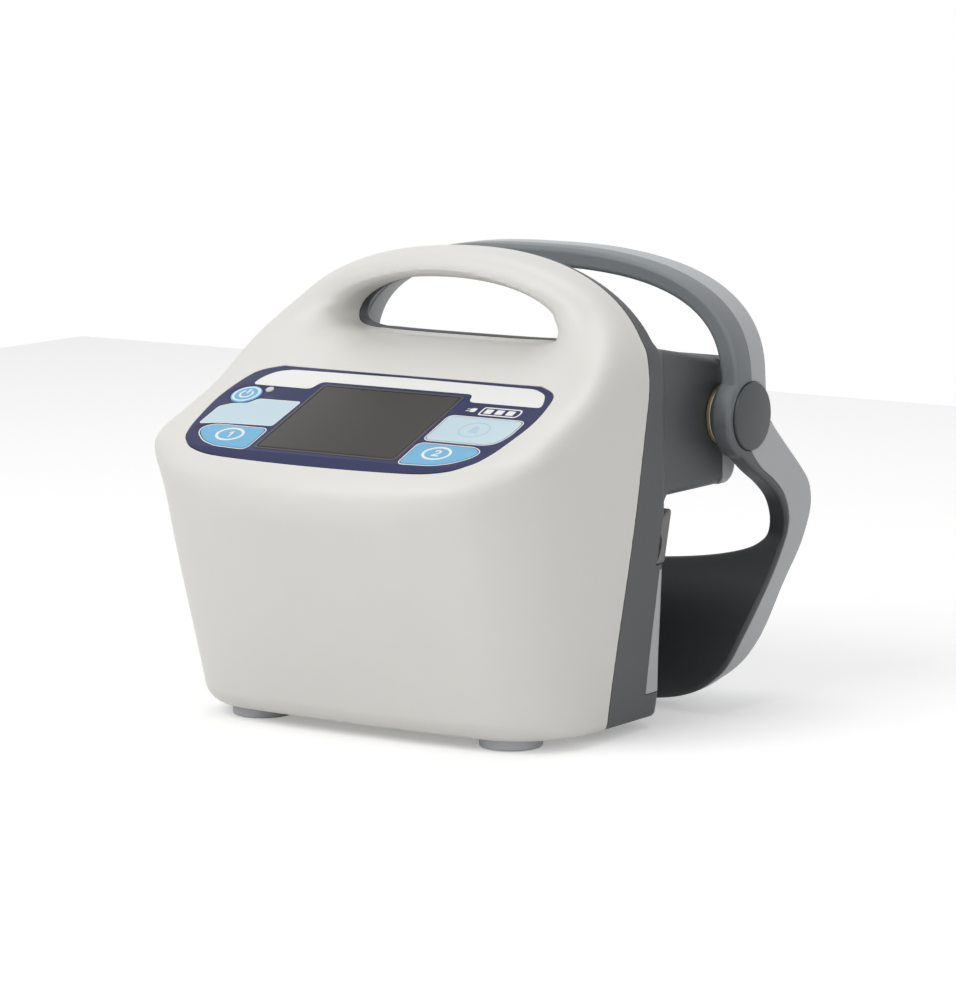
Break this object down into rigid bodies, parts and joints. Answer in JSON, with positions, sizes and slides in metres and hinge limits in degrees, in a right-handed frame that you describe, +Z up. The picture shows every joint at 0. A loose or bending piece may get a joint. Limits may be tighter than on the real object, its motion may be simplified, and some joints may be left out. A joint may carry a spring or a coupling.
{
  "type": "compression therapy pump",
  "caption": "Compression therapy pump: white moulded case with carry handle and sloped control panel with keys and display, tube ports, and a sprung grey hook at the rear.",
  "frame": {"origin": "on the floor, under the middle of the pump's outline", "axes": "+X to the user's right, +Y to the rear, where the hook is, +Z up"},
  "size_m": [0.1886, 0.2104, 0.1755],
  "materials": {
    "white_shell": "fine moulded texture, satin",
    "dark_case": "fine moulded texture",
    "light_grey": "fine moulded texture, satin",
    "hook_rubber": "soft-touch matte",
    "overlay_print": "printed film, satin",
    "display_glass": "clear window over a dark screen",
    "blue_key": "printed, satin",
    "pale_key": "printed, satin",
    "clear_plastic": "clear",
    "black_plastic": "moulded",
    "circuit_board": "solder mask",
    "foot_rubber": "matte",
    "steel": "plain",
    "bush_brass": "turned",
    "battery_wrap": "shrink film",
    "clear_hose": "soft clear tube"
  },
  "bodies": {
    "case": {"front_shell": "white_shell", "rear_case": "dark_case", "block_cover": "light_grey", "battery_door": "light_grey", "control_overlay": "overlay_print", "display_lens": "display_glass", "status_light": "clear_plastic", "display_module": "black_plastic", "power_switch": "black_plastic", "left_switch": "black_plastic", "right_switch": "black_plastic", "mute_switch": "black_plastic", "compressor_head": "black_plastic", "valve_manifold": "black_plastic", "tube_port_left": "black_plastic", "tube_port_right": "black_plastic", "mains_inlet": "black_plastic", "alarm_speaker": "black_plastic", "key_board": "circuit_board", "main_board": "circuit_board", "power_board": "circuit_board", "foot_front_left": "foot_rubber", "foot_front_right": "foot_rubber", "foot_rear_left": "foot_rubber", "foot_rear_right": "foot_rubber", "compressor_cradle": "foot_rubber", "compressor_motor": "steel", "solenoid_valve_1": "steel", "solenoid_valve_2": "steel", "solenoid_valve_3": "steel", "solenoid_valve_4": "steel", "solenoid_valve_5": "steel", "case_screw_upper_left": "steel", "case_screw_upper_right": "steel", "case_screw_lower_left": "steel", "case_screw_lower_right": "steel", "door_screw_left": "steel", "door_screw_right": "steel", "hook_spring_left": "steel", "hook_spring_right": "steel", "pivot_bush_left": "bush_brass", "pivot_bush_right": "bush_brass", "battery_pack": "battery_wrap", "supply_hose": "clear_hose", "port_hose_left": "clear_hose", "port_hose_right": "clear_hose"},
    "hook": {"hook_frame": "light_grey", "hook_pad": "hook_rubber", "pivot_pin_left": "steel", "pivot_pin_right": "steel", "pivot_cap_left": "dark_case", "pivot_cap_right": "dark_case"},
    "power_key": {"power_key": "blue_key"},
    "left_key": {"left_key": "blue_key"},
    "right_key": {"right_key": "blue_key"},
    "mute_key": {"mute_key": "pale_key"}
  },
  "joints": [
    {"name": "hook_swing", "type": "hinge", "parent": "case", "child": "hook", "pos_m": [0, 0.05865, 0.1121], "axis": [1, 0, 0], "range_deg": [0, 23], "stiffness_Nm_per_rad": 1.5, "springref_deg": -20.05},
    {"name": "power_key_press", "type": "slide", "parent": "case", "child": "power_key", "axis": [0, 0.3746, -0.9272], "range_m": [0, 0.0005], "stiffness_N_per_m": 4000},
    {"name": "left_key_press", "type": "slide", "parent": "case", "child": "left_key", "axis": [0, 0.3746, -0.9272], "range_m": [0, 0.0005], "stiffness_N_per_m": 4000},
    {"name": "right_key_press", "type": "slide", "parent": "case", "child": "right_key", "axis": [0, 0.3746, -0.9272], "range_m": [0, 0.0005], "stiffness_N_per_m": 4000},
    {"name": "mute_key_press", "type": "slide", "parent": "case", "child": "mute_key", "axis": [0, 0.3746, -0.9272], "range_m": [0, 0.0005], "stiffness_N_per_m": 4000}
  ]
}
